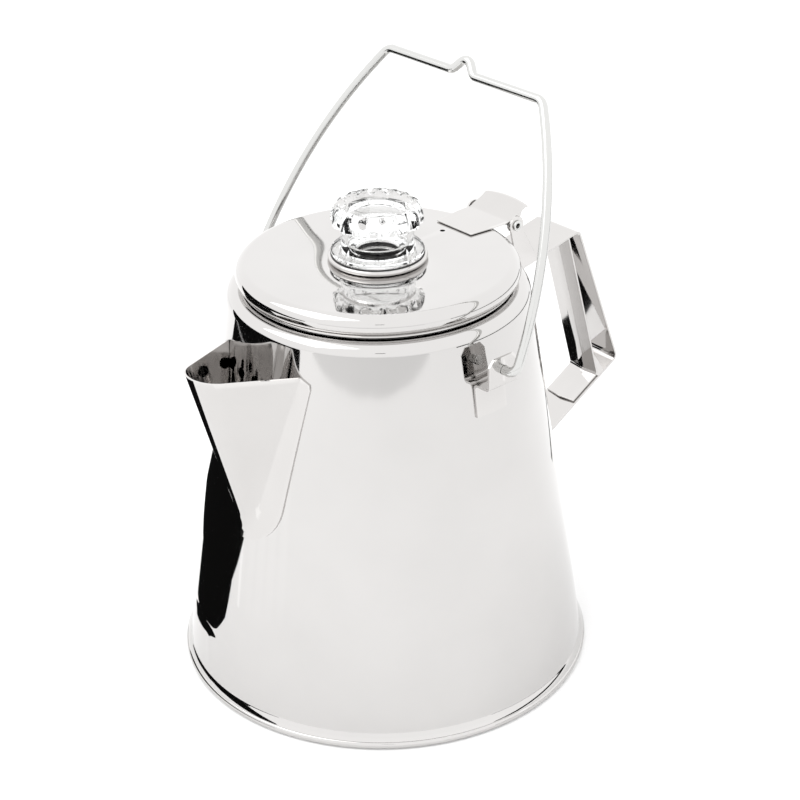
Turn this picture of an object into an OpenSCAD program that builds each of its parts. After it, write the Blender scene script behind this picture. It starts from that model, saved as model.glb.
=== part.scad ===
// Stovetop camping percolator: spun steel pot with a strained spout, strap handle, swinging wire bail,
// hinged lid with a clear twist-in knob, and a loose pump stem, coffee basket and spreader inside.
// The pot's axis is Z and its base rests on z = 0. The spout points to -Y and the handle to +Y.

/* [Pot] */
// outside radius of the rolled bead at the base
base_r = 95; // [92:0.5:98]
// height at which the straight cone turns into the shoulder
cone_h = 179; // [177:0.5:181]
// inward lean of the wall, in mm of radius for each mm of height
wall_slope = 0.1488; // [0.147:0.0002:0.15]
// thickness of the pot's sheet
sheet = 0.8; // [0.6:0.1:0.9]
// radius of the mouth
mouth_r = 58.4; // [57.8:0.1:59]

/* [Spout] */
// distance from the pot's axis to the spout's tip
spout_reach = 103; // [100:1:106]
// half width of the spout where its rim meets the wall
spout_half = 25; // [22:0.5:27]
// diameter of the strainer holes behind the spout
strainer_d = 5; // [3:0.5:6]
// rows of strainer holes
strainer_rows = 5; // [3:1:5]

/* [Handle] */
// width of the handle strap at its top
strap_w = 26; // [24:1:28]
// width of the handle strap at its foot
strap_foot_w = 20; // [19:1:22]
// thickness of the handle strap
strap_t = 1.2; // [1:0.1:1.4]
// width of the inner liner strip
liner_w = 18; // [14:1:18]

/* [Bail] */
// diameter of the bail's wire
wire_d = 4.2; // [3.8:0.1:4.4]
// lean of the bail towards the handle from upright, in degrees
bail_lean = 27.5; // [0:0.5:40]

/* [Lid] */
// outside radius of the lid
lid_r = 62.4; // [62:0.1:63]
// height of the lid's top above the table
lid_top_z = 194.1; // [193.8:0.1:194.4]
// diameter of the vent hole in front of the hinge leaf
vent_d = 2.3; // [1.5:0.1:3]
// number of lobes around the knob's crown
knob_lobes = 16; // [12:1:20]

/* [Coffee works] */
// outside diameter of the pump tube
tube_d = 8; // [7:0.5:9]
// outside radius of the coffee basket
basket_r = 50; // [46:1:51]
// rings of holes in the basket's floor and in the spreader
hole_rings = 3; // [2:1:4]

/* [Hidden] */
steel = [0.86, 0.86, 0.87];
satin = [0.78, 0.79, 0.80];
clear = [0.92, 0.96, 0.98, 0.35];
seal = [0.12, 0.12, 0.13];
fine = 128;
wall_foot_r = base_r - 1.53;
bead_r = 1.9;
floor_t = 0.9;
wall_foot_z = 3.8;
seam = 0.02;
rim_z = 183.1;
spout_tip_z = 170.8;
spout_rim_z = 167;
spout_foot_z = 86;
ear_z = 168.6;
ear_plate_x = 78;
ear_w = 17;
bail_end_x = 74;
pin_y = 70.4;
pin_z = 192.7;
pin_r = 1.7;
strap_top = [113.1, 176.8];
strap_low = [146, 98.6];
strap_slope = 0.206;
strap_foot = [84.6, 64.6];
lid_t = 0.8;
lid_under = lid_top_z - lid_t;
leaf_t = 1;
knob_bore = 11.6;
tube_top = 178;
rest_z = 102;
basket_z = rest_z + 2;
basket_h = 60;
sleeve_r = tube_d / 2 + 1.35;
spreader_z = basket_z + basket_h + 0.3;

// radius of the wall's outer face at height z
function wall_r(z) = wall_foot_r - wall_slope * z;
function unit(v) = v / norm(v);
function turn(a, b) = atan2(a[0] * b[1] - a[1] * b[0], a * b);

// points of a path through the corners p, each corner k rounded with radius r[k] in n steps
function fillet(a, b, c, r, n) =
    let (u = unit(a - b), w = unit(c - b), half = acos(u * w) / 2)
    let (centre = b + unit(u + w) * r / sin(half), from = b + u * r / tan(half) - centre)
    let (sweep = turn(b - a, c - b))
    [for (i = [0:n]) centre + [
        from[0] * cos(sweep * i / n) - from[1] * sin(sweep * i / n),
        from[0] * sin(sweep * i / n) + from[1] * cos(sweep * i / n)
    ]];
function path(p, r, n = 6) = concat(
    [p[0]],
    [for (k = [1:len(p) - 2]) each fillet(p[k - 1], p[k], p[k + 1], r[k - 1], n)],
    [p[len(p) - 1]]
);
function heading(q, i) = unit(q[min(i + 1, len(q) - 1)] - q[max(i - 1, 0)]);
function side(q, h) = [for (i = [0:len(q) - 1]) q[i] + h * [-heading(q, i)[1], heading(q, i)[0]]];
function reversed(q) = [for (i = [len(q) - 1:-1:0]) q[i]];

// a bent sheet seen edge on, t thick, centred on the path q
module sheet_profile(q, t) {
    polygon(concat(side(q, t / 2), reversed(side(q, -t / 2))));
}

// closed skin through rings of points, listed right-handed about the way that the rings run
module loft(rings) {
    n = len(rings[0]);
    walls = [for (i = [0:len(rings) - 2], k = [0:n - 1])
        let (next = (k + 1) % n)
        [i * n + k, (i + 1) * n + k, (i + 1) * n + next, i * n + next]];
    first_cap = [for (k = [0:n - 1]) k];
    last_cap = [for (k = [n - 1:-1:0]) (len(rings) - 1) * n + k];
    polyhedron([for (ring = rings) each ring], concat(walls, [first_cap, last_cap]));
}

// a sheet that follows the outside of the pot's wall between two heights
module wall_patch(z0, z1, t) {
    rotate_extrude($fn = fine)
        polygon([[wall_r(z0), z0], [wall_r(z0) + t, z0], [wall_r(z1) + t, z1], [wall_r(z1), z1]]);
}

// the pot's outside as one solid cone
module wall_solid() {
    rotate_extrude($fn = fine)
        polygon([[0, 0], [wall_r(0), 0], [wall_r(190), 190], [0, 190]]);
}

module pot_wall() {
    foot = wall_r(wall_foot_z) - sheet / 2 - seam;
    cone_top = wall_r(rim_z) - sheet / 2 - seam;
    q = path(
        [[foot, wall_foot_z], [cone_top, rim_z], [mouth_r - sheet / 2, rim_z], [mouth_r - sheet / 2, 176]],
        [5, 1.2]);
    color(steel)
        difference() {
            rotate_extrude($fn = fine)
                sheet_profile(q, sheet);
            strainer_holes();
        }
}

// a triangle of holes that lets coffee, but no grounds, into the spout
module strainer_holes() {
    for (row = [0:strainer_rows - 1])
        for (k = [0:strainer_rows - 1 - row])
            translate([0, 0, 158 - 11 * row])
                rotate([0, 0, (k - (strainer_rows - 1 - row) / 2) * 8.4])
                    translate([0, -60, 0])
                        rotate([90, 0, 0])
                            cylinder(d = strainer_d, h = 30, $fn = 24);
}

module pot_bottom() {
    lap = sheet + 3 * seam;
    color(steel)
        rotate_extrude($fn = fine)
            union() {
                translate([base_r - bead_r, bead_r])
                    circle(r = bead_r, $fn = 32);
                square([base_r - bead_r, floor_t]);
                polygon([[wall_r(0) - 2, 0.4], [wall_r(0.4) - lap, 0.4], [wall_r(8) - lap, 8],
                    [wall_r(8) - lap - 0.7, 8], [wall_r(1.5) - lap - 0.7, 1.5]]);
            }
}

// the solid wedge that the spout's sheet wraps, grown outwards by g and raised at the rim by up
module spout_core(g, up) {
    top_z = spout_rim_z + up;
    hull() {
        translate([0, 13 - spout_reach, spout_tip_z + up])
            cylinder(r = 13 + g, h = 0.01, $fn = 32);
        translate([0, -52, top_z - 2])
            cube([2 * spout_half + 2 * g, 20, 4], center = true);
        translate([0, -74.5, 97])
            cylinder(r = 7.4 + g, h = 0.01, $fn = 32);
        translate([0, -60, 97])
            cube([34 + 2 * g, 30, 0.01], center = true);
        translate([0, -70, spout_foot_z + 4 - g])
            cube([14 + 2 * g, 20, 0.01], center = true);
    }
}

module spout() {
    color(steel)
        difference() {
            union() {
                spout_core(0, 0);
                intersection() {
                    wall_patch(80, spout_rim_z + 1, sheet);
                    spout_flange_block();
                }
            }
            spout_core(-sheet, 0.8);
            spout_mouth_cut();
            wall_solid();
        }
}

// outline of the welding flange, seen from the front
module spout_flange_block() {
    rotate([90, 0, 0])
        linear_extrude(100)
            union() {
                polygon([[-30, spout_rim_z], [30, spout_rim_z], [22, 106], [-22, 106]]);
                translate([0, 108])
                    circle(r = 108 - spout_foot_z, $fn = 48);
            }
}

// everything above the spout's rim
module spout_mouth_cut() {
    rise = (spout_tip_z - spout_rim_z) / (spout_reach - 66);
    rotate([90, 0, 90])
        linear_extrude(80, center = true)
            polygon([[-40, spout_rim_z - 26 * rise], [-120, spout_rim_z + 54 * rise], [-120, 190],
                [-40, 190]]);
}

// bracket that carries one end of the bail: flange on the wall, shelf and upright plate
module ear() {
    shelf_z = 160.6;
    top_z = ear_z + 6.3;
    difference() {
        union() {
            intersection() {
                wall_patch(146, shelf_z + 1, 1);
                translate([60, -ear_w / 2, 140])
                    cube([40, ear_w, 30]);
            }
            translate([68, -ear_w / 2, shelf_z])
                cube([ear_plate_x - 67, ear_w, 1]);
            translate([ear_plate_x, 0, 0])
                rotate([90, 0, 90])
                    linear_extrude(1)
                        polygon([[-ear_w / 2, shelf_z], [ear_w / 2, shelf_z], [ear_w / 2, top_z - 3],
                            [ear_w / 2 - 3, top_z], [3 - ear_w / 2, top_z], [-ear_w / 2, top_z - 3]]);
        }
        wall_solid();
        translate([ear_plate_x - 1, 0, ear_z])
            rotate([0, 90, 0])
                cylinder(d = wire_d + 0.16, h = 3, $fn = 32);
    }
}

module ear_right() {
    color(steel)
        ear();
}

module ear_left() {
    color(steel)
        rotate([0, 0, 180])
            ear();
}

function strap_path() =
    let (y0 = wall_r(167) + strap_t / 2)
    path(
        [[y0 + wall_slope * 11, 156], [y0, strap_top[1] - (strap_top[0] - y0) * strap_slope], strap_top,
            strap_low, strap_foot, [wall_r(53) + strap_t / 2, 53]],
        [3, 3, 3, 3], 5);

module handle_strap() {
    color(steel)
        difference() {
            intersection() {
                rotate([90, 0, 90])
                    linear_extrude(strap_w, center = true)
                        sheet_profile(strap_path(), strap_t);
                rotate([90, 0, 180])
                    linear_extrude(200)
                        polygon([[-strap_w / 2, 190], [strap_w / 2, 190], [strap_w / 2, 165],
                            [strap_foot_w / 2, 98], [strap_foot_w / 2, 50], [-strap_foot_w / 2, 50],
                            [-strap_foot_w / 2, 98], [-strap_w / 2, 165]]);
            }
            wall_solid();
        }
}

// narrower strip inside the strap, which keeps the hot sheet off the fingers
module handle_liner() {
    down = unit(strap_low - strap_top);
    back = unit(strap_foot - strap_low);
    lift = [back[1], -back[0]] * -1.35;
    top_line = strap_top + [-strap_slope, 1] * -1.35;
    q = path(
        [top_line - unit([1, strap_slope]) * 26, top_line - unit([1, strap_slope]) * 3.6,
            [133.6, 92.6] - lift * 0.35, strap_low + back * 33 - lift],
        [2.5, 2.5], 5);
    color(satin)
        rotate([90, 0, 90])
            linear_extrude(liner_w, center = true)
                sheet_profile(q, 1);
}

module hinge_bracket() {
    color(steel)
        union() {
            for (s = [-1, 1])
                translate([s * 13.95 - 0.55, 0, 0])
                    rotate([90, 0, 90])
                        linear_extrude(1.1)
                            difference() {
                                union() {
                                    translate([pin_y, pin_z])
                                        circle(r = 4.2, $fn = 48);
                                    polygon([[pin_y - 3.2, pin_z - 2.7], [69.4, 180], [69.8, 169.6],
                                        [84, 172], [82, 176], [pin_y + 3.7, pin_z - 2]]);
                                }
                                translate([pin_y, pin_z])
                                    circle(r = pin_r, $fn = 32);
                            }
            rotate([90, 0, 90])
                linear_extrude(28.8, center = true)
                    polygon([[71, strap_line(71) + 0.61], [84, strap_line(84) + 0.61],
                        [84, strap_line(84) + 1.61], [71, strap_line(71) + 1.61]]);
        }
}

// height of the strap's middle line on its top run
function strap_line(y) = strap_top[1] - (strap_top[0] - y) * strap_slope;

// hollow rivet that the lid turns on
module hinge_pin() {
    color(satin)
        translate([0, pin_y, pin_z])
            rotate([0, 90, 0])
                difference() {
                    union() {
                        cylinder(r = pin_r, h = 31, center = true, $fn = 32);
                        for (s = [-1, 1])
                            translate([0, 0, s * 15])
                                cylinder(r = 2.5, h = 0.9, center = true, $fn = 32);
                    }
                    cylinder(r = 1.1, h = 40, center = true, $fn = 32);
                }
}

module lid_top() {
    roll = 4.35;
    c = [lid_r - lid_t / 2 - roll, lid_top_z - lid_t / 2 - roll];
    q = concat(
        [[knob_bore, lid_top_z - lid_t / 2]],
        [for (a = [90:-15:-60]) c + roll * [cos(a), sin(a)]],
        [[c[0] + roll * cos(60), c[1] - roll * sin(60) - 1]]);
    color(steel)
        difference() {
            rotate_extrude($fn = fine)
                sheet_profile(q, lid_t);
            translate([-2, 40, lid_top_z - 3])
                cylinder(d = vent_d, h = 5, $fn = 24);
        }
}

module lid_skirt() {
    q = path([[51, lid_under - 0.35], [mouth_r - 2.4, lid_under - 0.35], [mouth_r - 3, 177]], [1.5]);
    color(satin)
        rotate_extrude($fn = fine)
            sheet_profile(q, 0.7);
}

// leaf on the lid that wraps over the pin and rises into a thumb tab
module hinge_leaf() {
    q = path([[45, lid_top_z + leaf_t / 2], [67.5, lid_top_z + leaf_t / 2], [77.6, 200.6], [79.4, 200.4]],
        [4, 1], 5);
    color(steel)
        union() {
            intersection() {
                rotate([90, 0, 90])
                    linear_extrude(26, center = true)
                        sheet_profile(q, leaf_t);
                translate([0, 0, 190])
                    linear_extrude(20)
                        polygon([[-11.2, 45], [-12.9, 60], [-12.9, 69], [-13, 80], [13, 80], [12.9, 69],
                            [12.9, 60], [11.2, 45]]);
            }
            for (s = [-1, 1])
                translate([s * 12.3 - 0.5, 0, 0])
                    rotate([90, 0, 90])
                        linear_extrude(1)
                            difference() {
                                union() {
                                    translate([pin_y, pin_z])
                                        circle(r = 3.7, $fn = 40);
                                    polygon([[66.4, 194.4], [pin_y - 3.4, pin_z - 1],
                                        [pin_y + 3.6, pin_z - 0.6], [75.6, 198.9], [72, 196.4]]);
                                }
                                translate([pin_y, pin_z])
                                    circle(r = pin_r + 0.06, $fn = 32);
                            }
        }
}

module knob_collar() {
    color(steel)
        rotate_extrude($fn = 96)
            union() {
                translate([12.4, lid_top_z])
                    square([8.2, 2.4]);
                translate([20.6, lid_top_z + 1.2])
                    circle(r = 1.2, $fn = 24);
            }
}

module knob_gasket() {
    color(seal)
        translate([0, 0, lid_top_z + 2.4])
            difference() {
                cylinder(r = 20.6, h = 0.7, $fn = 96);
                translate([0, 0, -1])
                    cylinder(r = 19.7, h = 3, $fn = 96);
            }
}

// ring under the lid with two notches that the knob's lugs pass when it is turned
module knob_retainer() {
    color(satin)
        translate([0, 0, lid_under - 0.8])
            difference() {
                cylinder(r = 22, h = 0.8, $fn = 96);
                translate([0, 0, -1])
                    cylinder(r = knob_bore, h = 3, $fn = 64);
                for (a = [60, 240])
                    rotate([0, 0, a])
                        translate([8, -4.6, -1])
                            cube([7.4, 9.2, 3]);
            }
}

// lobed crown that the fingers grip, rounded over to a flat top
module knob_crown() {
    levels = [[0, 18.4, 17.2], [1.2, 20.3, 17.4], [4.2, 20.2, 17.4], [6.8, 19.4, 17.2], [8.6, 18, 16.6],
        [9.4, 16.6, 16]];
    loft([for (level = levels) [for (k = [0:4 * knob_lobes - 1])
        let (a = 90 * k / knob_lobes)
        let (r = level[2] + (level[1] - level[2]) * abs(cos(a * knob_lobes / 2)))
        [r * cos(a), r * sin(a), level[0]]]]);
}

module knob() {
    seat = lid_top_z + 3.4;
    crown = 210.4;
    color(clear)
        difference() {
            union() {
                translate([0, 0, seat])
                    cylinder(r = 20.4, h = 1.6, $fn = 96);
                translate([0, 0, seat + 1.5])
                    cylinder(r1 = 16.2, r2 = 15.7, h = crown - seat - 1.5, $fn = 96);
                translate([0, 0, lid_under - 3.2])
                    cylinder(r = 11.2, h = seat - lid_under + 3.3, $fn = 64);
                for (a = [0, 180])
                    rotate([0, 0, a])
                        intersection() {
                            translate([9, -4, lid_under - 3.2])
                                cube([6, 8, 2]);
                            translate([0, 0, lid_under - 4])
                                cylinder(r = 14, h = 4, $fn = 64);
                        }
                translate([0, 0, crown])
                    knob_crown();
            }
            translate([0, 0, lid_under - 5])
                cylinder(r = 9, h = seat - lid_under + 7, $fn = 64);
            translate([0, 0, seat + 1.9])
                cylinder(r1 = 9, r2 = 13, h = 3, $fn = 64);
            translate([0, 0, seat + 4.8])
                cylinder(r = 13, h = 8, $fn = 64);
            translate([0, 0, seat + 12.7])
                cylinder(r1 = 13, r2 = 8, h = 2.5, $fn = 64);
        }
}

// stations [x, y, heading] along a wire bent in the XY plane: a number is a straight run, and
// [radius, angle] is a bend in n steps, to the left for a positive angle
function bent(runs, at = [0, 0, 0], i = 0, n = 6) =
    i == len(runs) ? [] :
    is_num(runs[i]) ?
        let (to = at + runs[i] * [cos(at[2]), sin(at[2]), 0])
        concat([to], bent(runs, to, i + 1)) :
        let (r = sign(runs[i][1]) * runs[i][0], a = runs[i][1], h = at[2])
        let (arc = [for (k = [1:n]) at + [
            r * (sin(h + a * k / n) - sin(h)),
            r * (cos(h) - cos(h + a * k / n)),
            a * k / n
        ]])
        concat(arc, bent(runs, arc[n - 1], i + 1));

// round wire of radius r through the stations q
module wire(q, r, sides = 12) {
    loft([for (p = q) [for (k = [0:sides - 1])
        let (t = 360 * k / sides)
        [p[0] - r * cos(t) * sin(p[2]), p[1] + r * cos(t) * cos(p[2]), r * sin(t)]]]);
}

module bail() {
    hump = [[4, -50], 3.7, [4, 50]];
    leg = [36.8, [6, -56], [209, -29.1], 3.1, [4.2, -94.9], 0.6];
    half = bent(concat(hump, leg));
    foot = half[len(half) - 1];
    mirrored = [for (p = reversed(half)) [-p[0], p[1], -p[2]]];
    color(satin)
        translate([0, 0, ear_z])
            rotate([90 - bail_lean, 0, 0])
                union() {
                    translate([0, -foot[1], 0])
                        wire(concat(mirrored, [[0, 0, 0]], half), wire_d / 2 - 0.02);
                    for (s = [0, 1])
                        mirror([s, 0, 0])
                            translate([bail_end_x, 0, 0])
                                rotate([0, 90, 0])
                                    cylinder(d = wire_d, h = foot[0] + 0.5 - bail_end_x, $fn = 32);
                }
}

module stem_tube() {
    color(steel)
        translate([0, 0, 16])
            difference() {
                cylinder(d = tube_d, h = tube_top - 16, $fn = 48);
                translate([0, 0, -1])
                    cylinder(d = tube_d - 1.2, h = tube_top, $fn = 48);
            }
}

// flared foot that gathers the steam bubbles and sends them up the tube
module stem_foot() {
    q = path([[35, 1.45], [30, 7], [12, 15], [tube_d / 2 + 0.3, 19], [tube_d / 2 + 0.3, 30]], [3, 4, 3], 4);
    color(steel)
        difference() {
            rotate_extrude($fn = 96)
                sheet_profile(q, 0.6);
            for (a = [0:60:300])
                rotate([0, 0, a])
                    translate([25, -3, 0])
                        cube([15, 6, 3.4]);
        }
}

module basket_rest() {
    color(satin)
        translate([0, 0, rest_z - 5])
            difference() {
                cylinder(r1 = tube_d / 2 + 1, r2 = tube_d / 2 + 3.6, h = 5, $fn = 48);
                translate([0, 0, -1])
                    cylinder(d = tube_d, h = 8, $fn = 48);
            }
}

// rings of holes between the radii r0 and r1
module hole_field(r0, r1, d, z) {
    for (k = [0:hole_rings - 1]) {
        r = r0 + (r1 - r0) * k / (hole_rings - 1);
        n = floor(2 * PI * r / 11);
        for (j = [0:n - 1])
            rotate([0, 0, 360 * j / n])
                translate([r, 0, z])
                    cylinder(d = d, h = 6, center = true, $fn = 16);
    }
}

module basket() {
    q = path([[sleeve_r + 0.02, basket_z + 0.35], [basket_r - 1, basket_z + 0.35],
        [basket_r - 0.4, basket_z + basket_h - 0.35], [basket_r + 2.2, basket_z + basket_h - 0.35]],
        [5, 1]);
    color(steel)
        difference() {
            rotate_extrude($fn = 96)
                sheet_profile(q, 0.7);
            hole_field(14, basket_r - 8, 2.4, basket_z);
        }
}

// tube in the middle of the basket that slides on the pump's tube
module basket_sleeve() {
    color(steel)
        translate([0, 0, basket_z])
            difference() {
                cylinder(r = sleeve_r, h = 40, $fn = 48);
                translate([0, 0, -1])
                    cylinder(r = sleeve_r - 0.7, h = 42, $fn = 48);
            }
}

module spreader() {
    sleeve = tube_d / 2 + 0.8;
    q = path([[sleeve, spreader_z + 5], [sleeve, spreader_z + 0.3], [basket_r - 3, spreader_z + 0.3],
        [basket_r - 2, spreader_z + 3], [basket_r + 1.4, spreader_z + 3]],
        [1.5, 1.5, 1]);
    color(steel)
        difference() {
            rotate_extrude($fn = 96)
                sheet_profile(q, 0.6);
            hole_field(12, basket_r - 9, 3, spreader_z);
        }
}

pot_wall();
pot_bottom();
spout();
ear_right();
ear_left();
handle_strap();
handle_liner();
hinge_bracket();
hinge_pin();
lid_top();
lid_skirt();
hinge_leaf();
knob_collar();
knob_gasket();
knob_retainer();
knob();
bail();
stem_tube();
stem_foot();
basket_rest();
basket();
basket_sleeve();
spreader();
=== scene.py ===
"""A camping percolator in polished stainless steel: its looks, built around the CAD frame."""

import math

import bmesh
import bpy
from mathutils import Matrix, Vector


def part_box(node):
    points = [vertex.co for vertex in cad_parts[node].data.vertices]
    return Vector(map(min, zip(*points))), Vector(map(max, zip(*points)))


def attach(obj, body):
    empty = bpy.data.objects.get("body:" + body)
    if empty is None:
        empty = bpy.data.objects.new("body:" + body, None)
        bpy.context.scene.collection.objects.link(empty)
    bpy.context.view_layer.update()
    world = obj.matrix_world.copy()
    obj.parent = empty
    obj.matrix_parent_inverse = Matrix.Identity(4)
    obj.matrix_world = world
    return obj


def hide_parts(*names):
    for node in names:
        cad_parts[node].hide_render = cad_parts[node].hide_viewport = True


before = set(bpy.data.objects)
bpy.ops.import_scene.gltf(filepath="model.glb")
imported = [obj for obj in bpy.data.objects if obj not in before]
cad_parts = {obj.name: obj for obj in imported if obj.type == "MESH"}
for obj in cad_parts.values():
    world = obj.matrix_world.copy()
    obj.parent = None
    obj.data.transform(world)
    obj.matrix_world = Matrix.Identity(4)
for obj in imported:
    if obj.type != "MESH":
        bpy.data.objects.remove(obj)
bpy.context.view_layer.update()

# ----------------------------------------------------------------------------------------------
# Dimensions, in millimetres, in the CAD frame: Z is the pot's axis, the spout points to -Y

MM = 0.001
SHEET = 0.8                             # thickness of the pot's and the lid's sheet
HALF_SHEET = SHEET / 2
WALL_FOOT_R, WALL_SLOPE = 93.47, 0.1488
RIM_Z, MOUTH_R, LIP_FOOT_Z = 183.5, 58.4, 176
FOOT_R, BEAD_R = 95, 1.9                # the roll around the foot
LID_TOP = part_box("lid_top")[1].z / MM
LID_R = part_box("lid_top")[1].x / MM
EAR_Z, EAR_PLATE = 168.6, 78.5          # the bail's axis, and the plates that hold it
PIN_Y, PIN_Z = 70.4, 192.7              # the lid's axis
STEPS = 256                             # segments of a turned piece
SHARP_ANGLE = 35                        # degrees from which an edge is shaded sharp


def wall_r(z):
    """Radius of the wall's outer face at height z."""
    return WALL_FOOT_R - WALL_SLOPE * z


# ----------------------------------------------------------------------------------------------
# Mesh helpers

def lerp(a, b, t):
    return a + (b - a) * t


def place(name, verts, faces, body, material, replaced=()):
    """A smooth mesh piece from millimetre points that rides on a body and stands for CAD nodes."""
    mesh = bpy.data.meshes.new(name)
    mesh.from_pydata([tuple(c * MM for c in v) for v in verts], [], faces)
    mesh.validate()
    mesh.update()
    piece = bpy.data.objects.new(name, mesh)
    bpy.context.scene.collection.objects.link(piece)
    work = bmesh.new()
    work.from_mesh(mesh)
    bmesh.ops.remove_doubles(work, verts=work.verts, dist=1e-7)
    bmesh.ops.recalc_face_normals(work, faces=work.faces)
    work.to_mesh(mesh)
    work.free()
    mesh.shade_smooth()
    mesh.set_sharp_from_angle(angle=math.radians(SHARP_ANGLE))
    mesh.materials.append(material)
    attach(piece, body)
    if replaced:
        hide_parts(*replaced)
    return piece


def grid_faces(rows, columns, wrap_rows=False, wrap_columns=False):
    """Quads over a grid of points stored row by row."""
    faces = []
    for i in range(rows if wrap_rows else rows - 1):
        for j in range(columns if wrap_columns else columns - 1):
            down, right = (i + 1) % rows, (j + 1) % columns
            faces.append((i * columns + j, i * columns + right,
                          down * columns + right, down * columns + j))
    return faces


def rounded(corners, radii, steps, support=0.5):
    """A 2D path with its inner corners rounded, and a support point on each side of a bend."""
    points = [Vector(corners[0])]
    for k in range(1, len(corners) - 1):
        a, b, c = (Vector(corners[k + d]) for d in (-1, 0, 1))
        u, w = (a - b).normalized(), (c - b).normalized()
        half = math.acos(max(-1, min(1, u.dot(w)))) / 2
        radius = radii[k - 1]
        if radius == 0 or half > 1.55:
            points.append(b)
            continue
        centre = b + (u + w).normalized() * radius / math.sin(half)
        start = b + u * radius / math.tan(half)
        sweep = math.pi - 2 * half
        if u.x * w.y - u.y * w.x > 0:
            sweep = -sweep
        points.append(start + u * support)
        for i in range(steps + 1):
            t = sweep * i / steps
            d = start - centre
            points.append(centre + Vector((d.x * math.cos(t) - d.y * math.sin(t),
                                           d.x * math.sin(t) + d.y * math.cos(t))))
        points.append(b + w * (radius / math.tan(half) + support))
    points.append(Vector(corners[-1]))
    return points


def normals_of(path):
    """Left-hand normals of an open 2D path."""
    out = []
    for i in range(len(path)):
        d = path[min(i + 1, len(path) - 1)] - path[max(i - 1, 0)]
        d.normalize()
        out.append(Vector((-d.y, d.x)))
    return out


def sheet_section(path, thickness):
    """Closed outline of a sheet seen edge on, with rounded edges, centred on the path."""
    edge_steps = 4
    side = normals_of(path)
    left = [p + n * thickness / 2 for p, n in zip(path, side)]
    right = [p - n * thickness / 2 for p, n in zip(path, side)]

    def cap(at, normal, forward):
        return [at + (normal * math.cos(a) + forward * math.sin(a)) * thickness / 2
                for a in (math.pi * k / (edge_steps + 1) for k in range(1, edge_steps + 1))]

    last = Vector((side[-1].y, -side[-1].x))
    first = Vector((side[0].y, -side[0].x))
    return left + cap(path[-1], side[-1], last) + right[::-1] + cap(path[0], -side[0], -first)


def turned(outline, steps, shape):
    """Rings of points for an outline of (radius, height) points turned about Z.

    shape(angle, point), where it is given, returns the radius to use."""
    verts = []
    for p in outline:
        for k in range(steps):
            a = 2 * math.pi * k / steps
            r = shape(a, p) if shape else p[0]
            verts.append((r * math.cos(a), r * math.sin(a), p[1]))
    return verts


def revolve(name, outline, body, material, replaced, steps=STEPS, shape=None):
    """A closed outline of (radius, height) points turned about Z into a ring."""
    verts = turned(outline, steps, shape)
    faces = grid_faces(len(outline), steps, wrap_rows=True, wrap_columns=True)
    return place(name, verts, faces, body, material, replaced)


def shell(name, outline, body, material, replaced, steps=STEPS, shape=None):
    """An outline that starts and ends on the axis, turned about Z into a closed solid."""
    inner = outline[1:-1]
    verts = [(0, 0, outline[0][1])] + turned(inner, steps, shape) + [(0, 0, outline[-1][1])]
    faces = [tuple(i + 1 for i in f) for f in grid_faces(len(inner), steps, wrap_columns=True)]
    faces += [(0, 1 + (k + 1) % steps, 1 + k) for k in range(steps)]
    base = 1 + (len(inner) - 1) * steps
    faces += [(len(verts) - 1, base + k, base + (k + 1) % steps) for k in range(steps)]
    return place(name, verts, faces, body, material, replaced)


def solid_grid(top, bottom):
    """Vertices and faces of a closed plate between two grids of points of the same size."""
    rows, columns = len(top), len(top[0])
    count = rows * columns
    verts = [p for row in top for p in row] + [p for row in bottom for p in row]
    faces = grid_faces(rows, columns)
    faces += [tuple(i + count for i in reversed(f)) for f in grid_faces(rows, columns)]
    rim = list(range(columns))
    rim += [i * columns + columns - 1 for i in range(1, rows)]
    rim += [(rows - 1) * columns + j for j in range(columns - 2, -1, -1)]
    rim += [i * columns for i in range(rows - 2, 0, -1)]
    for a, b in zip(rim, rim[1:] + rim[:1]):
        faces.append((b, a, a + count, b + count))
    return verts, faces


def soften(piece, width, angle, segments):
    """Rounds the edges sharper than angle, and keeps flat faces flat in reflections."""
    bevel = piece.modifiers.new("edges", "BEVEL")
    bevel.width = width * MM
    bevel.segments = segments
    bevel.limit_method = "ANGLE"
    bevel.angle_limit = math.radians(angle)
    bevel.harden_normals = True
    bevel.use_clamp_overlap = True
    return piece


def strip(name, path, half_width, thickness, across, body, replaced, columns, bend=0):
    """A strip of sheet steel bent along a path of (y, z) points, and laid across the X axis.

    half_width(point) is its half width there, and across(x, point, bend) the point at x."""
    side = normals_of(path)
    grids = []
    for sign in (1, -1):
        grid = []
        for p, n in zip(path, side):
            q = p + n * sign * thickness / 2
            w = half_width(p)
            grid.append([across(w * (2 * j / (columns - 1) - 1), q, bend) for j in range(columns)])
        grids.append(grid)
    verts, faces = solid_grid(*grids)
    return place(name, verts, faces, body, sheet_steel, replaced)


def cut(piece, cutter):
    """Cuts the cutter's shape out of a piece and applies the result."""
    hole = piece.modifiers.new("hole", "BOOLEAN")
    hole.object = cutter
    hole.operation = "DIFFERENCE"
    hole.solver = "EXACT"
    bpy.context.view_layer.update()
    graph = bpy.context.evaluated_depsgraph_get()
    result = bpy.data.meshes.new_from_object(piece.evaluated_get(graph))
    piece.modifiers.clear()
    piece.data = result
    bpy.data.objects.remove(cutter)
    return piece


def rods(places, radius, length, axis_to, sides=32):
    """One cutter object with a cylinder at each place, each along the direction axis_to(place)."""
    work = bmesh.new()
    for at in places:
        turn = Vector(axis_to(at)).to_track_quat("Z", "Y").to_matrix().to_4x4()
        bmesh.ops.create_cone(work, cap_ends=True, segments=sides,
                              radius1=radius * MM, radius2=radius * MM, depth=length * MM,
                              matrix=Matrix.Translation(Vector(at) * MM) @ turn)
    mesh = bpy.data.meshes.new("cutter")
    work.to_mesh(mesh)
    work.free()
    cutter = bpy.data.objects.new("cutter", mesh)
    bpy.context.scene.collection.objects.link(cutter)
    return cutter


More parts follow.
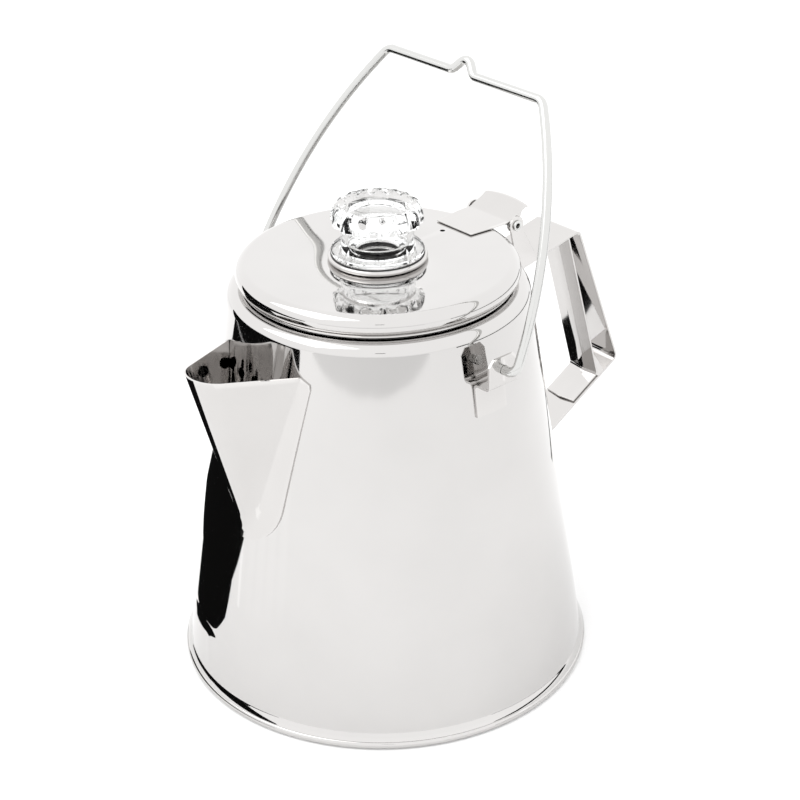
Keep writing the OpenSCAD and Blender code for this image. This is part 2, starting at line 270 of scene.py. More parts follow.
# ----------------------------------------------------------------------------------------------
# Materials

def new_material(name):
    material = bpy.data.materials.new(name)
    material.use_nodes = True
    nodes, links = material.node_tree.nodes, material.node_tree.links
    return material, nodes, links, nodes["Principled BSDF"]


def noise(nodes, links, coords, scale, detail, stretch=(1, 1, 1)):
    """Noise over object coordinates, stretched along an axis for a grain."""
    mapping = nodes.new("ShaderNodeMapping")
    mapping.inputs["Scale"].default_value = stretch
    links.new(coords.outputs["Object"], mapping.inputs["Vector"])
    texture = nodes.new("ShaderNodeTexNoise")
    texture.inputs["Scale"].default_value = scale
    texture.inputs["Detail"].default_value = detail
    links.new(mapping.outputs["Vector"], texture.inputs["Vector"])
    return texture


def ramp(nodes, links, source, stops):
    """A colour ramp over stops of (position, grey or colour)."""
    node = nodes.new("ShaderNodeValToRGB")
    elements = node.color_ramp.elements
    while len(elements) < len(stops):
        elements.new(0.5)
    for element, (position, colour) in zip(elements, stops):
        element.position = position
        grey = isinstance(colour, (int, float))
        element.color = (colour, colour, colour, 1) if grey else (*colour, 1)
    links.new(source, node.inputs["Fac"])
    return node


MIRROR_TINT = (0.583, 0.572, 0.564)
EDGE_LIGHT = 0.06                       # how much lighter the painted highlight makes convex edges


def steel(name, tint=MIRROR_TINT, rough=(0.025, 0.07), waves=0.0, grain=(1, 1, 1),
          grain_depth=0.02):
    """Polished stainless steel: faint smudges, polishing lines, and convex edges lightened by a
    painted highlight.

    waves is how deep the slow unevenness of the sheet is, in millimetres."""
    material, nodes, links, surface = new_material(name)
    coords = nodes.new("ShaderNodeTexCoord")
    smudge = noise(nodes, links, coords, 28, 4)
    tone = ramp(nodes, links, smudge.outputs["Fac"],
                [(0.3, tuple(c * 0.965 for c in tint)), (0.7, tint)])
    geometry = nodes.new("ShaderNodeNewGeometry")
    # Painted highlight: the base colour is lighter where the surface is convex, along edges and
    # bends.
    edge_highlight = ramp(nodes, links, geometry.outputs["Pointiness"], [(0.51, 0.0), (0.58, 1.0)])
    mix = nodes.new("ShaderNodeMix")
    mix.data_type = "RGBA"
    links.new(edge_highlight.outputs["Color"], mix.inputs["Factor"])
    links.new(tone.outputs["Color"], mix.inputs["A"])
    mix.inputs["B"].default_value = (*(min(1, c + EDGE_LIGHT) for c in tint), 1)
    links.new(mix.outputs["Result"], surface.inputs["Base Color"])
    haze = noise(nodes, links, coords, 60, 5)
    spread = nodes.new("ShaderNodeMapRange")
    spread.inputs["To Min"].default_value = rough[0]
    spread.inputs["To Max"].default_value = rough[1]
    links.new(haze.outputs["Fac"], spread.inputs["Value"])
    links.new(spread.outputs["Result"], surface.inputs["Roughness"])
    lines = noise(nodes, links, coords, 900, 2, grain)
    fine = nodes.new("ShaderNodeBump")
    fine.inputs["Strength"].default_value = grain_depth
    fine.inputs["Distance"].default_value = 0.00002
    links.new(lines.outputs["Fac"], fine.inputs["Height"])
    if waves:
        swell = noise(nodes, links, coords, 14, 1)
        broad = nodes.new("ShaderNodeBump")
        broad.inputs["Strength"].default_value = 1.0
        broad.inputs["Distance"].default_value = waves * MM
        links.new(swell.outputs["Fac"], broad.inputs["Height"])
        links.new(broad.outputs["Normal"], fine.inputs["Normal"])
    links.new(fine.outputs["Normal"], surface.inputs["Normal"])
    surface.inputs["Metallic"].default_value = 1.0
    return material


def clear_resin(name):
    """Clear moulded resin with faint haze and a few moulding ripples."""
    material, nodes, links, surface = new_material(name)
    coords = nodes.new("ShaderNodeTexCoord")
    haze = noise(nodes, links, coords, 90, 3)
    tone = ramp(nodes, links, haze.outputs["Fac"],
                [(0.3, (0.935, 0.94, 0.94)), (0.7, (0.96, 0.965, 0.965))])
    links.new(tone.outputs["Color"], surface.inputs["Base Color"])
    spread = nodes.new("ShaderNodeMapRange")
    spread.inputs["To Min"].default_value = 0.0
    spread.inputs["To Max"].default_value = 0.03
    links.new(haze.outputs["Fac"], spread.inputs["Value"])
    links.new(spread.outputs["Result"], surface.inputs["Roughness"])
    ripple = noise(nodes, links, coords, 120, 1)
    bump = nodes.new("ShaderNodeBump")
    bump.inputs["Strength"].default_value = 0.5
    bump.inputs["Distance"].default_value = 0.00003
    links.new(ripple.outputs["Fac"], bump.inputs["Height"])
    links.new(bump.outputs["Normal"], surface.inputs["Normal"])
    surface.inputs["Transmission Weight"].default_value = 1.0
    surface.inputs["IOR"].default_value = 1.33
    return material


def rubber(name):
    """Black silicone seal, slightly dusty."""
    material, nodes, links, surface = new_material(name)
    coords = nodes.new("ShaderNodeTexCoord")
    dust = noise(nodes, links, coords, 300, 4)
    tone = ramp(nodes, links, dust.outputs["Fac"], [(0.4, 0.012), (0.75, 0.03)])
    links.new(tone.outputs["Color"], surface.inputs["Base Color"])
    rough = ramp(nodes, links, dust.outputs["Fac"], [(0.3, 0.45), (0.7, 0.65)])
    links.new(rough.outputs["Color"], surface.inputs["Roughness"])
    bump = nodes.new("ShaderNodeBump")
    bump.inputs["Distance"].default_value = 0.00005
    links.new(dust.outputs["Fac"], bump.inputs["Height"])
    links.new(bump.outputs["Normal"], surface.inputs["Normal"])
    return material


mirror = steel("mirror_steel", waves=0.02, grain=(1, 1, 12))
lid_mirror = steel("lid_steel", waves=0.05, grain=(1, 1, 1))
sheet_steel = steel("sheet_steel", tint=(0.58, 0.567, 0.557), rough=(0.03, 0.09), waves=0.04)
wire_steel = steel("wire_steel", tint=(0.58, 0.58, 0.57), rough=(0.12, 0.22),
                   grain=(12, 1, 1), grain_depth=0.05)
inner_steel = steel("inner_steel", tint=(0.52, 0.52, 0.51), rough=(0.16, 0.30),
                    grain=(1, 1, 8), grain_depth=0.08)
resin = clear_resin("clear_resin")
silicone = rubber("silicone")


# ----------------------------------------------------------------------------------------------
# The pot

def strainer_places():
    """Centres of the strainer holes behind the spout: a triangle of rows."""
    rows, pitch_degrees = 5, 8.4
    top_z, row_pitch, ring_r = 158, 11, 74
    for row in range(rows):
        for k in range(rows - row):
            z = top_z - row_pitch * row
            a = math.radians((k - (rows - 1 - row) / 2) * pitch_degrees)
            yield (ring_r * math.sin(a), -ring_r * math.cos(a), z)


# Creases low on the wall's left: two ends, each (degrees about Z, height), depth and width
CREASES = [((-121, 29), (-94, 28), 0.22, 1.8), ((-105, 26), (-103, 11), -0.14, 3.0),
           ((-96, 28), (-72, 36), 0.06, 1.8), ((-95, 27), (-78, 12), 0.06, 1.8)]
MM_PER_DEGREE = 1.6                     # along the wall, at the height of the creases
CREASE_ROWS = [8.5 + 0.75 * k for k in range(58)]


def dented(angle, p):
    """Radius of the wall at a point, with its shallow creases; a negative depth is a bulge."""
    turn = math.degrees(angle) - (360 if angle > math.pi else 0)
    reach = 4
    r = p[0]
    for (a0, z0), (a1, z1), depth, width in CREASES:
        line = Vector(((a1 - a0) * MM_PER_DEGREE, z1 - z0))
        at = Vector(((turn - a0) * MM_PER_DEGREE, p[1] - z0))
        along = max(0, min(1, at.dot(line) / line.length_squared))
        away = (at - line * along).length / width
        if away < reach:
            r -= depth * math.exp(-away * away) * math.sin(math.pi * (0.15 + 0.7 * along))
    return r


def pot_wall():
    """Tapered wall with a cove at its foot, its top rolled inwards, and the strainer's holes."""
    top = RIM_Z - HALF_SHEET
    lip_r = MOUTH_R - HALF_SHEET
    hole_r, hole_length = 2.5, 16
    path = rounded([(93.9, 3.95), (wall_r(7) - HALF_SHEET, 7), (wall_r(top) - HALF_SHEET, top),
                    (lip_r, top), (lip_r, LIP_FOOT_Z)], [3, 5, 1.2], 12)
    first = next(k for k, p in enumerate(path) if p.y > 60)
    rows = [Vector((wall_r(z) - HALF_SHEET, z)) for z in CREASE_ROWS]
    path = [p for p in path[:first] if p.y < 8.4] + rows + path[first:]
    wall = revolve("pot_wall_shell", sheet_section(path, SHEET), "pot", mirror,
                   ["pot_wall"], 512, dented)
    return cut(wall, rods(strainer_places(), hole_r, hole_length, lambda at: (at[0], at[1], 0)))


def pot_bottom():
    """Pressed bottom, its rim rolled around the foot of the wall and tucked into the cove."""
    centre = (FOOT_R - BEAD_R, BEAD_R)
    inner_r = wall_r(5) - SHEET
    roll = [(centre[0] + BEAD_R * math.cos(a), centre[1] + BEAD_R * math.sin(a))
            for a in (math.radians(d) for d in range(-90, 70, 6))]
    lip = [(93.55, 3.45), (93.3, 3.3), (wall_r(4.2) - 0.3, 3.3)]
    inside = [(inner_r, 4.5), (wall_r(8) - SHEET - 0.1, 8), (wall_r(8) - SHEET - 0.7, 8),
              (wall_r(2) - SHEET - 0.7, 2.2), (wall_r(2) - SHEET - 2.2, 0.9), (70, 0.9), (60, 1.3)]
    under = [(60, 0.4), (72, 0.4), (82, 0.0), (90, 0.0)]
    outline = [(0, 1.3)] + inside[::-1] + lip[::-1] + roll[::-1] + under[::-1] + [(0, 0.4)]
    return shell("pot_bottom_pan", outline, "pot", mirror, ["pot_bottom"])


SPOUT_TIP_Z, SPOUT_RIM_Z, SPOUT_FOOT_Z = 170.8, 167.0, 90.0
NOSE_TOP, NOSE_LOW = (90.0, 13.0), (74.5, 7.4)      # (distance from the axis, radius) of the nose
NOSE_LOW_Z = 97.0
FLANGE_R, FLANGE_Z = 22, 108            # the round foot of the spout's flange, and its centre


def spout_r(z):
    """Radius of the outer face of sheet laid on the wall at height z."""
    return wall_r(z) + SHEET + 0.05


def spout_section(z):
    """Half of the spout's outline at height z, from the wall to its nose, as (x, y) points."""
    columns_side, columns_arc = 7, 14
    t = (z - NOSE_LOW_Z) / (SPOUT_TIP_Z - NOSE_LOW_Z)
    if t >= 0:
        centre, radius = lerp(NOSE_LOW[0], NOSE_TOP[0], t), lerp(NOSE_LOW[1], NOSE_TOP[1], t)
    else:
        u = (NOSE_LOW_Z - z) / (NOSE_LOW_Z - SPOUT_FOOT_Z)
        front = lerp(NOSE_LOW[0] + NOSE_LOW[1], wall_r(SPOUT_FOOT_Z) + SHEET + 0.1,
                     u * u * (3 - 2 * u))
        radius = lerp(NOSE_LOW[1], 6.4, u)
        centre = front - radius
    wide = max(6.2, lerp(8.0, 25.0, (z - NOSE_LOW_Z) / (SPOUT_RIM_Z - NOSE_LOW_Z)))
    joint = Vector((wide, -math.sqrt(spout_r(z) ** 2 - wide ** 2)))
    hub = Vector((0, -centre))
    reach = (joint - hub).length
    aim = math.atan2(joint.y - hub.y, joint.x - hub.x)
    lean = aim - math.acos(min(1, radius / reach))
    touch = hub + radius * Vector((math.cos(lean), math.sin(lean)))
    side = [joint.lerp(touch, k / columns_side) for k in range(columns_side)]
    arc = [hub + radius * Vector((math.cos(a), math.sin(a)))
           for a in (lerp(lean, -math.pi / 2, k / columns_arc) for k in range(columns_arc + 1))]
    return side + arc


def flange_half(z):
    """Half width of the spout's welding flange at height z."""
    straight_z, top_half, corner_r = 106, 30, 5
    arc = math.sqrt(max(0.0, FLANGE_R ** 2 - (FLANGE_Z - z) ** 2)) if z < FLANGE_Z else 0
    rise = (z - straight_z) / (SPOUT_RIM_Z - straight_z)
    straight = lerp(FLANGE_R, top_half, rise) if z >= straight_z else 0
    corner = corner_r - math.sqrt(max(0, corner_r ** 2 - max(0, z - SPOUT_RIM_Z + corner_r) ** 2))
    return max(arc, straight) - corner


def spout():
    """Folded sheet: a straight-sided nose that grows out of a flange on the wall."""
    flange_columns = 5
    nose_back, nose_reach = 64, 39      # the rim climbs from here to the tip, over this distance
    low = [FLANGE_Z - FLANGE_R * math.cos(math.radians(a)) for a in (3, 8, 13, 18, 23, 28, 32)]
    heights = low + [lerp(SPOUT_FOOT_Z, NOSE_LOW_Z, k / 7) for k in range(7)]
    heights += [lerp(NOSE_LOW_Z, SPOUT_RIM_Z, k / 30) for k in range(31)]
    grid = []
    for z in heights:
        s = max(0, (z - SPOUT_FOOT_Z) / (SPOUT_RIM_Z - SPOUT_FOOT_Z))
        sample = spout_section(max(z, SPOUT_FOOT_Z))
        count = len(sample) - 1
        nose = []
        for k in range(count + 1):
            outward = k / count
            climb = min(1, max(0, (-sample[k].y - nose_back) / nose_reach))
            rim = lerp(SPOUT_RIM_Z, SPOUT_TIP_Z, climb)
            level = z if z <= SPOUT_FOOT_Z else SPOUT_FOOT_Z + s * (rim - SPOUT_FOOT_Z)
            p = spout_section(max(level, SPOUT_FOOT_Z))[k]
            if z < SPOUT_FOOT_Z:
                x = min(sample[0].x, flange_half(z) * 0.7) * (1 - outward)
                p = Vector((x, -math.sqrt(spout_r(z) ** 2 - x ** 2)))
            nose.append((p.x, p.y, level))
        edge_x, wide = nose[0][0], flange_half(z)
        flange = []
        for k in range(flange_columns):
            x = lerp(wide, edge_x, k / flange_columns)
            flange.append((x, -math.sqrt(spout_r(z) ** 2 - x ** 2), z))
        half = flange + nose
        grid.append(half + [(-x, y, z2) for x, y, z2 in reversed(half[:-1])])
    verts = [p for row in grid for p in row]
    faces = grid_faces(len(grid), len(grid[0]))
    piece = place("spout_folded", verts, faces, "pot", sheet_steel, ["spout"])
    thick = piece.modifiers.new("sheet", "SOLIDIFY")
    thick.thickness = SHEET * MM
    thick.offset = -1
    return soften(piece, 0.22, 30, 2)


def ear(name, node, turn):
    """Bail bracket bent from one strip: flange, shelf, and an upright plate with the hole."""
    half_width, half_thick = 8.5, 0.5
    shelf_z, top_z, hole_r = 161.1, EAR_Z + 6.3, 2.22
    chamfer_z = top_z - 3
    path = rounded([(wall_r(146) + half_thick, 146.2), (wall_r(shelf_z) + half_thick, shelf_z),
                    (EAR_PLATE, shelf_z), (EAR_PLATE, top_z)], [1.6, 1.6], 6, 0.3)
    path = path[:-1] + [Vector((EAR_PLATE, z)) for z in (164, 166.5, 169, chamfer_z, top_z)]
    columns = 17
    side = normals_of(path)
    grids = []
    for sign in (1, -1):
        grid = []
        for p, n in zip(path, side):
            q = p + n * sign * half_thick
            wide = half_width - max(0, p.y - chamfer_z)
            row = []
            for j in range(columns):
                y = wide * (2 * j / (columns - 1) - 1)
                on_wall = max(0.0, min(1.0, (shelf_z - 0.8 - p.y) / 3))
                x = lerp(q.x, math.sqrt(q.x ** 2 - y ** 2), on_wall)
                row.append((x, y, q.y))
            grid.append(row)
        grids.append(grid)
    verts, faces = solid_grid(*grids)
    spin = Matrix.Rotation(turn, 3, "Z")
    verts = [tuple(spin @ Vector(v)) for v in verts]
    piece = place(name, verts, faces, "pot", sheet_steel, [node])
    hole_at = tuple(spin @ Vector((EAR_PLATE, 0, EAR_Z)))
    hole = rods([hole_at], hole_r, 6, lambda at: (at[0], at[1], 0), 40)
    return soften(cut(piece, hole), 0.2, 40, 2)


STRAP_TOP, STRAP_LOW, STRAP_FOOT = (113.1, 176.8), (146, 98.6), (84.6, 64.6)    # its corners
STRAP_SLOPE = 0.206                     # rise of the strap's top from the pot outwards
STRAP_THICK = 1.2
LINER_HALF = 9                          # half width of the liner inside the strap


def across_x(w, q, bend):
    """Straight across a strip."""
    return (w, q.x, q.y)


def ridged(w, q, bend):
    """Across the liner, which is pressed into a low ridge along its middle."""
    return (w, q.x - bend * (1 - abs(w) / LINER_HALF), q.y)


def strap_half(p):
    """Half width of the handle strap at a height: it narrows towards its foot."""
    return lerp(10, 13, max(0, min(1, (p.y - 98) / 67)))


def strap_z(y):
    """Height of the middle of the strap's top at a distance behind the axis."""
    return STRAP_TOP[1] - (STRAP_TOP[0] - y) * STRAP_SLOPE


def handle():
    """The folded strap, and the liner strip that lies inside its grip."""
    half = STRAP_THICK / 2
    offset = 1.35                       # from the strap's middle to the liner's
    y0 = wall_r(167) + half
    outer = rounded([(y0 + WALL_SLOPE * 11, 156), (y0, strap_z(y0)), STRAP_TOP, STRAP_LOW,
                     STRAP_FOOT, (wall_r(53) + half, 53)], [3, 3, 3, 3], 8)
    strap = strip("handle_strap_outer", outer, strap_half, STRAP_THICK, across_x,
                  "pot", ["handle_strap"], 13)
    soften(strap, 0.35, 40, 3)
    back = (Vector(STRAP_FOOT) - Vector(STRAP_LOW)).normalized()
    lift = Vector((back.y, -back.x)) * -offset
    along = Vector((1, STRAP_SLOPE)).normalized()
    top_line = Vector(STRAP_TOP) + Vector((-STRAP_SLOPE, 1)) * -offset
    inner = rounded([top_line - along * 26, top_line - along * 3.6,
                     Vector((133.6, 92.6)) - lift * 0.35,
                     Vector(STRAP_LOW) + back * 33 - lift], [2.5, 2.5], 8)
    liner = strip("handle_liner_strip", inner, lambda p: LINER_HALF, 1.0, ridged,
                  "pot", ["handle_liner"], 9, 1.1)
    soften(liner, 0.3, 40, 3)


# ----------------------------------------------------------------------------------------------
# The bail

def bail_line():
    """Half of the bail's centreline in its own plane, from the crest out, as (x, y, heading).

    A run is a straight length, or an arc of (radius, degrees)."""
    runs = [(4, -50), 3.7, (4, 50), 36.8, (6, -56), (209, -29.1), 3.1, (4.2, -94.9), 7.4]
    x = y = heading = 0.0
    out = [(0.0, 0.0, 0.0)]
    for run in runs:
        if isinstance(run, tuple):
            radius, turn = run[0] * (1 if run[1] > 0 else -1), math.radians(run[1])
            steps = max(8, int(abs(run[1]) / 5), int(abs(radius * turn) / 5))
            for k in range(1, steps + 1):
                a = turn * k / steps
                out.append((x + radius * (math.sin(heading + a) - math.sin(heading)),
                            y + radius * (math.cos(heading) - math.cos(heading + a)), heading + a))
        else:
            out.append((x + run * math.cos(heading), y + run * math.sin(heading), heading))
        x, y, heading = out[-1]
    return out


def bail():
    """The bail's wire, at the lean towards the handle that it has in the picture."""
    half = bail_line()
    line = [(-x, y, -h) for x, y, h in reversed(half[1:])] + half
    drop = half[-1][1]
    lean = math.radians(27.5)
    sides, radius = 28, 2.08
    verts = []
    for x, y, h in line:
        for k in range(sides):
            a = 2 * math.pi * k / sides
            px = x - radius * math.cos(a) * math.sin(h)
            up = y - drop + radius * math.cos(a) * math.cos(h)
            off = radius * math.sin(a)
            verts.append((px, up * math.sin(lean) - off * math.cos(lean),
                          EAR_Z + up * math.cos(lean) + off * math.sin(lean)))
    faces = grid_faces(len(line), sides, wrap_columns=True)
    end = (len(line) - 1) * sides
    faces += [tuple(range(sides - 1, -1, -1)), tuple(range(end, end + sides))]
    wire = place("bail_wire", verts, faces, "bail", wire_steel, ["bail"])
    return soften(wire, 0.3, 60, 2)


# ----------------------------------------------------------------------------------------------
# The lid and its hinge

def lid():
    """Lid with a rolled edge and a vent hole, its skirt, and the knob's collar and seal."""
    roll = 4.35
    hole_r, vent_r = 11.6, 1.15
    middle = LID_TOP - HALF_SHEET
    c = Vector((LID_R - HALF_SHEET - roll, middle - roll))
    path = [Vector((hole_r, middle)), Vector((40, middle)), Vector((c.x - 1, middle))]
    path += [c + roll * Vector((math.cos(math.radians(a)), math.sin(math.radians(a))))
             for a in range(90, -61, -6)]
    foot = path[-1]
    path += [foot + Vector((-0.2, -0.55)), foot + Vector((-0.1, -1.0))]
    disc = revolve("lid_disc", sheet_section(path, SHEET), "lid", lid_mirror,
                   ["lid_top"])
    cut(disc, rods([(-2, 40, LID_TOP)], vent_r, 5, lambda at: (0, 0, 1)))
    skirt_thick = 0.7
    skirt_z = LID_TOP - SHEET - skirt_thick / 2
    skirt = rounded([(51, skirt_z), (MOUTH_R - 2.4, skirt_z), (MOUTH_R - 3, 177)], [1.5], 8)
    revolve("lid_skirt_ring", sheet_section(skirt, skirt_thick), "lid", inner_steel,
            ["lid_skirt"])
    edge_r, round_r = 20.6, 1.2
    collar = [(12.4, LID_TOP), (edge_r, LID_TOP)]
    collar += [(edge_r + round_r * math.cos(math.radians(a)),
                LID_TOP + round_r + round_r * math.sin(math.radians(a)))
               for a in range(-75, 91, 15)]
    collar += [(19.6, LID_TOP + 2.4), (19.3, LID_TOP + 2.3), (12.4, LID_TOP + 2.3)]
    revolve("knob_collar_ring", collar, "lid", sheet_steel, ["knob_collar"])
    z = LID_TOP + 2.4
    seal = [(20.1, z), (20.4, z), (20.6, z + 0.15), (20.6, z + 0.3), (20.4, z + 0.45),
            (20.1, z + 0.45)]
    revolve("knob_seal", seal, "lid", silicone, ["knob_gasket"])


LEAF_HALF = 13


def crowned(w, q, bend):
    """Across the hinge leaf: flat on the lid, and slightly domed on the thumb tab."""
    rise = max(0, min(1, (q.x - 69) / 6)) * bend
    return (w, q.x - 0.4 * rise * (w / LEAF_HALF) ** 2, q.y - rise * (w / LEAF_HALF) ** 2)


def hinge_leaf():
    """Leaf on the lid that climbs into a thumb tab, with its two side ears around the pin."""
    top = LID_TOP + 0.6
    path = rounded([(45, top), (67.5, top), (77.6, 200.6), (79.4, 200.4)], [4, 1], 8, 0.4)
    outline = [(45, 11.2), (60, 12.9), (69, 12.9), (80, LEAF_HALF)]

    def half(p):
        for (y0, w0), (y1, w1) in zip(outline, outline[1:]):
            if p.x <= y1:
                return lerp(w0, w1, max(0, (p.x - y0) / (y1 - y0)))
        return outline[-1][1]

    dense = []
    for a, b in zip(path, path[1:]):
        count = max(1, int((b - a).length / 2))
        dense += [a.lerp(b, k / count) for k in range(count)]
    dense.append(path[-1])
    leaf = strip("hinge_leaf_plate", dense, half, 0.7, crowned, "lid",
                 ["hinge_leaf"], 15, 1.2)
    soften(leaf, 0.25, 40, 3)
    for sign in (-1, 1):
        lug(sign)


def side_name(sign):
    return "right" if sign > 0 else "left"


def plate(name, x0, x1, points, pin_hole, body, replaced=()):
    """A flat plate across X from its (y, z) outline, with a hole of radius pin_hole for the pin."""
    count = len(points)
    verts = [(x0, y, z) for y, z in points] + [(x1, y, z) for y, z in points]
    faces = [tuple(range(count - 1, -1, -1)), tuple(range(count, 2 * count))]
    faces += [(k, (k + 1) % count, count + (k + 1) % count, count + k) for k in range(count)]
    piece = place(name, verts, faces, body, sheet_steel, replaced)
    if pin_hole:
        at = ((x0 + x1) / 2, PIN_Y, PIN_Z)
        cut(piece, rods([at], pin_hole, 6, lambda at: (1, 0, 0), 48))
    return soften(piece, 0.2, 40, 2)


def arc_points(cy, cz, radius, start, end, steps):
    """Points of an arc around (cy, cz), between two angles in degrees."""
    angles = [math.radians(lerp(start, end, k / steps)) for k in range(steps + 1)]
    return [(cy + radius * math.cos(a), cz + radius * math.sin(a)) for a in angles]


def lug(sign):
    """Side ear of the hinge leaf, folded down around the pin."""
    x0, x1 = sorted((sign * 11.8, sign * 12.8))
    points = arc_points(PIN_Y, PIN_Z, 3.7, 160, 380, 20)
    points += [(75.6, 198.7), (72, 196.3), (69.5, 194.8), (66.4, 194.4)]
    return plate("hinge_lug_" + side_name(sign), x0, x1, points, 1.78, "lid")


def hinge():
    """The bracket: two ears that carry the rivet, joined by a saddle on the strap."""
    for sign in (-1, 1):
        x0, x1 = sorted((sign * 13.4, sign * 14.5))
        points = arc_points(PIN_Y, PIN_Z, 4.2, -30, 215, 24)
        points += [(69.4, 180), (69.8, 169.6), (84, 172), (82, 176)]
        plate("hinge_ear_" + side_name(sign), x0, x1, points, 1.7, "pot",
              ["hinge_bracket"] if sign > 0 else ())
        pin_end(sign)
    y0, y1 = 71, 84
    low, high = 0.61, 1.61              # of the saddle, above the middle of the strap
    saddle = [(y0, strap_z(y0) + low), (y1, strap_z(y1) + low),
              (y1, strap_z(y1) + high), (y0, strap_z(y0) + high)]
    plate("hinge_saddle", -14.4, 14.4, saddle, 0, "pot")


def pin_end(sign):
    """Half of the hollow rivet, with its flared end, from a (radius, distance) outline."""
    outline = [(1.1, 0), (1.7, 0), (1.7, 14.2), (1.8, 14.55), (2.3, 14.55), (2.5, 14.75),
               (2.5, 15.1), (2.3, 15.4), (1.7, 15.45), (1.25, 15.2), (1.1, 14.7)]
    steps = 48
    verts = []
    for r, h in outline:
        for k in range(steps):
            a = 2 * math.pi * k / steps
            verts.append((sign * h, PIN_Y + r * math.cos(a), PIN_Z + r * math.sin(a)))
    faces = grid_faces(len(outline), steps, wrap_rows=True, wrap_columns=True)
    return place("hinge_rivet_" + side_name(sign), verts, faces, "pot", wire_steel,
                 ["hinge_pin"] if sign > 0 else ())


def knob():
    """Clear hollow knob: seat, neck, and a crown cut in lobes with sharp valleys between them."""
    seat, crown, lobes = LID_TOP + 3.4, 210.4, 16
    steps, body_r = 320, 16.5           # the lobes are cut outside body_r
    neck_foot = LID_TOP - 4
    outer = [(0, 219.5), (6, 219.5), (13.0, 219.6), (15.6, 219.7), (16.6, 219.75), (17.4, 219.5),
             (18.3, 218.8), (19.2, 217.6), (19.9, 215.6), (20.25, 213.4), (20.25, 211.7),
             (19.6, 210.8), (18.2, crown), (16.4, crown - 0.1), (15.9, crown - 1), (15.9, 204),
             (16.0, seat + 2.2), (16.6, seat + 1.6), (20.0, seat + 1.5), (20.4, seat + 1.1),
             (20.4, seat + 0.3), (20.1, seat), (11.4, seat), (11.2, seat - 0.3),
             (11.2, neck_foot), (9.0, neck_foot), (9.0, seat + 1.4), (9.4, seat + 2.2),
             (12.4, seat + 4.4), (13.0, seat + 5.4),
             (13.0, 209.4), (12.4, 210.6), (9, 212.4), (4, 213.0), (0, 213.0)]
    # Depth of the valleys at each height of the crown; the heights are those of the outline
    cut_depth = {219.75: 0.5, 219.5: 1.0, 218.8: 1.5, 217.6: 2.0, 215.6: 2.5, 213.4: 2.7,
                 211.7: 2.7, 210.8: 2.0, crown: 1.0}

    def lobed(a, p):
        depth = cut_depth.get(p[1], 0) if p[0] > body_r else 0
        return p[0] - depth * (1 - abs(math.cos(a * lobes / 2)))

    body = shell("knob_clear", outer, "knob", resin, ["knob"], steps, lobed)
    body.data.set_sharp_from_angle(angle=math.radians(24))
    return body


# ----------------------------------------------------------------------------------------------
# Studio

def camera():
    """Looks down on the pot from the right of its spout, as the picture does."""
    data = bpy.data.cameras.new("camera")
    data.lens = 90
    data.sensor_width = 36
    data.clip_start = 0.01
    view = bpy.data.objects.new("camera", data)
    bpy.context.scene.collection.objects.link(view)
    azimuth = math.radians(49.5)
    pitch, yaw, roll = 0.4907, 0.0108, -0.0162      # radians: down, across and about the view
    distance, height = 0.79633, 0.54889             # from the pot's axis and the floor, in metres
    spin = Matrix.Rotation(azimuth, 3, "Z")
    forward = spin @ Vector((math.sin(yaw) * math.cos(pitch), math.cos(yaw) * math.cos(pitch),
                             -math.sin(pitch)))
    level = spin @ Vector((math.cos(yaw), -math.sin(yaw), 0))
    up = level.cross(forward)
    right = math.cos(roll) * level + math.sin(roll) * up
    top = -math.sin(roll) * level + math.cos(roll) * up
    place_at = spin @ Vector((0, -distance, height))
    turn = Matrix((right, top, -forward)).transposed().to_4x4()
    view.matrix_world = Matrix.Translation(place_at) @ turn
    bpy.context.scene.camera = view


def plain(name, grey, rough):
    """A dull grey for the floor and the cards."""
    material, nodes, links, surface = new_material(name)
    surface.inputs["Base Color"].default_value = (grey, grey, grey, 1)
    surface.inputs["Roughness"].default_value = rough
    surface.inputs["Specular IOR Level"].default_value = 0.0
    return material


def card(name, corners, material):
    """A studio card that shows only in reflections."""
    mesh = bpy.data.meshes.new(name)
    points = [tuple(c * MM for c in p) for p in corners]
    mesh.from_pydata(points, [], [tuple(range(len(points)))])
    piece = bpy.data.objects.new(name, mesh)
    mesh.materials.append(material)
    bpy.context.scene.collection.objects.link(piece)
    piece.visible_camera = False
    piece.visible_diffuse = False
    piece.visible_shadow = False
    return piece


CARD_Z = 0.6                            # height of the cards that lie on the floor


def lying(name, corners, material):
    """A card on the floor, from its (x, y) corners."""
    return card(name, [(x, y, CARD_Z) for x, y in corners], material)


def standing(name, start, end, tops, material):
    """A card that stands on the line between two (x, y) points, with the height of each end."""
    corners = [(*start, CARD_Z), (*end, CARD_Z), (*end, tops[1]), (*start, tops[0])]
    return card(name, corners, material)


def floor():
    """A pale floor, four metres each way."""
    size = 4.0
    corners = [(-size, -size, 0), (size, -size, 0), (size, size, 0), (-size, size, 0)]
    mesh = bpy.data.meshes.new("floor")
    mesh.from_pydata(corners, [], [(0, 1, 2, 3)])
    mesh.materials.append(plain("floor_paper", 0.9, 0.9))
    sheet = bpy.data.objects.new("floor", mesh)
    bpy.context.scene.collection.objects.link(sheet)


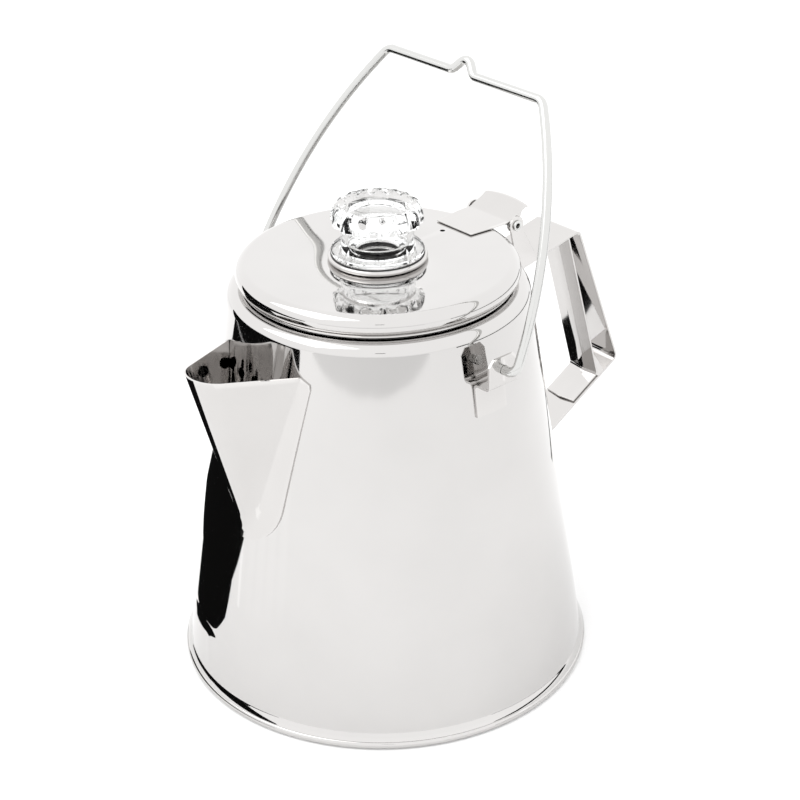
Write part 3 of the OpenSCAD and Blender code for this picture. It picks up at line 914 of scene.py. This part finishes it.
def cards():
    """Dark and grey shapes of a room, for the steel to reflect."""
    black = plain("flag_black", 0.004, 1.0)
    lying("flag_left", [(-68, -100), (-84, -132), (-123, -166), (-163, -238), (-428, -531),
                        (-542, -142), (-171, 20), (-148, -43), (-100, -61), (-80, -72)], black)
    lying("flag_behind", [(-190, 340), (-3, 236), (0, 246), (-185, 354)], black)
    lying("flag_handle", [(-98, 84), (-136, 84), (-136, 124), (-98, 118)], black)
    standing("flag_standing", (-430, -530), (-545, -140), (200, 200), black)
    standing("flag_low", (-430, -530), (-90, -780), (200, 60), black)
    standing("flag_right", (560, 900), (1040, 250), (60, 60), black)
    standing("flag_back", (-250, 1050), (560, 900), (60, 60), black)
    lying("table_end", [(35, -950), (156, -893), (391, -803), (603, -660), (808, -428),
                        (913, -251), (1008, -107), (1500, -200), (1200, -1300), (100, -1500)],
          plain("table_grey", 0.7, 1.0))
    card("flag_front", [(610, -585, 540), (690, -515, 540), (690, -515, 600), (610, -585, 600)],
         black)


def lights():
    """Even white light from all around, and one large soft lamp above the spout."""
    target = Vector((0, 0, 0.1))
    world = bpy.data.worlds.new("studio")
    world.use_nodes = True
    world.node_tree.nodes["Background"].inputs["Color"].default_value = (1, 1, 1, 1)
    world.node_tree.nodes["Background"].inputs["Strength"].default_value = 1.42
    bpy.context.scene.world = world
    data = bpy.data.lights.new("softbox", "AREA")
    data.shape = "RECTANGLE"
    data.size, data.size_y = 1.6, 1.2
    data.energy = 9
    lamp = bpy.data.objects.new("softbox", data)
    lamp.location = (-0.5, -0.9, 1.7)
    aim = target - Vector(lamp.location)
    lamp.rotation_euler = aim.to_track_quat("-Z", "Y").to_euler()
    bpy.context.scene.collection.objects.link(lamp)
    bpy.context.scene.view_settings.view_transform = "Standard"
    bpy.context.scene.view_settings.look = "None"


def inner_works():
    """Every CAD node gets the inner steel: the ones that show are the works inside the pot."""
    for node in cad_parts.values():
        node.data.materials.clear()
        node.data.materials.append(inner_steel)


camera()
pot_wall()
pot_bottom()
spout()
ear("ear_right_bracket", "ear_right", 0)
ear("ear_left_bracket", "ear_left", math.pi)
handle()
bail()
lid()
hinge_leaf()
hinge()
knob()
inner_works()
floor()
cards()
lights()
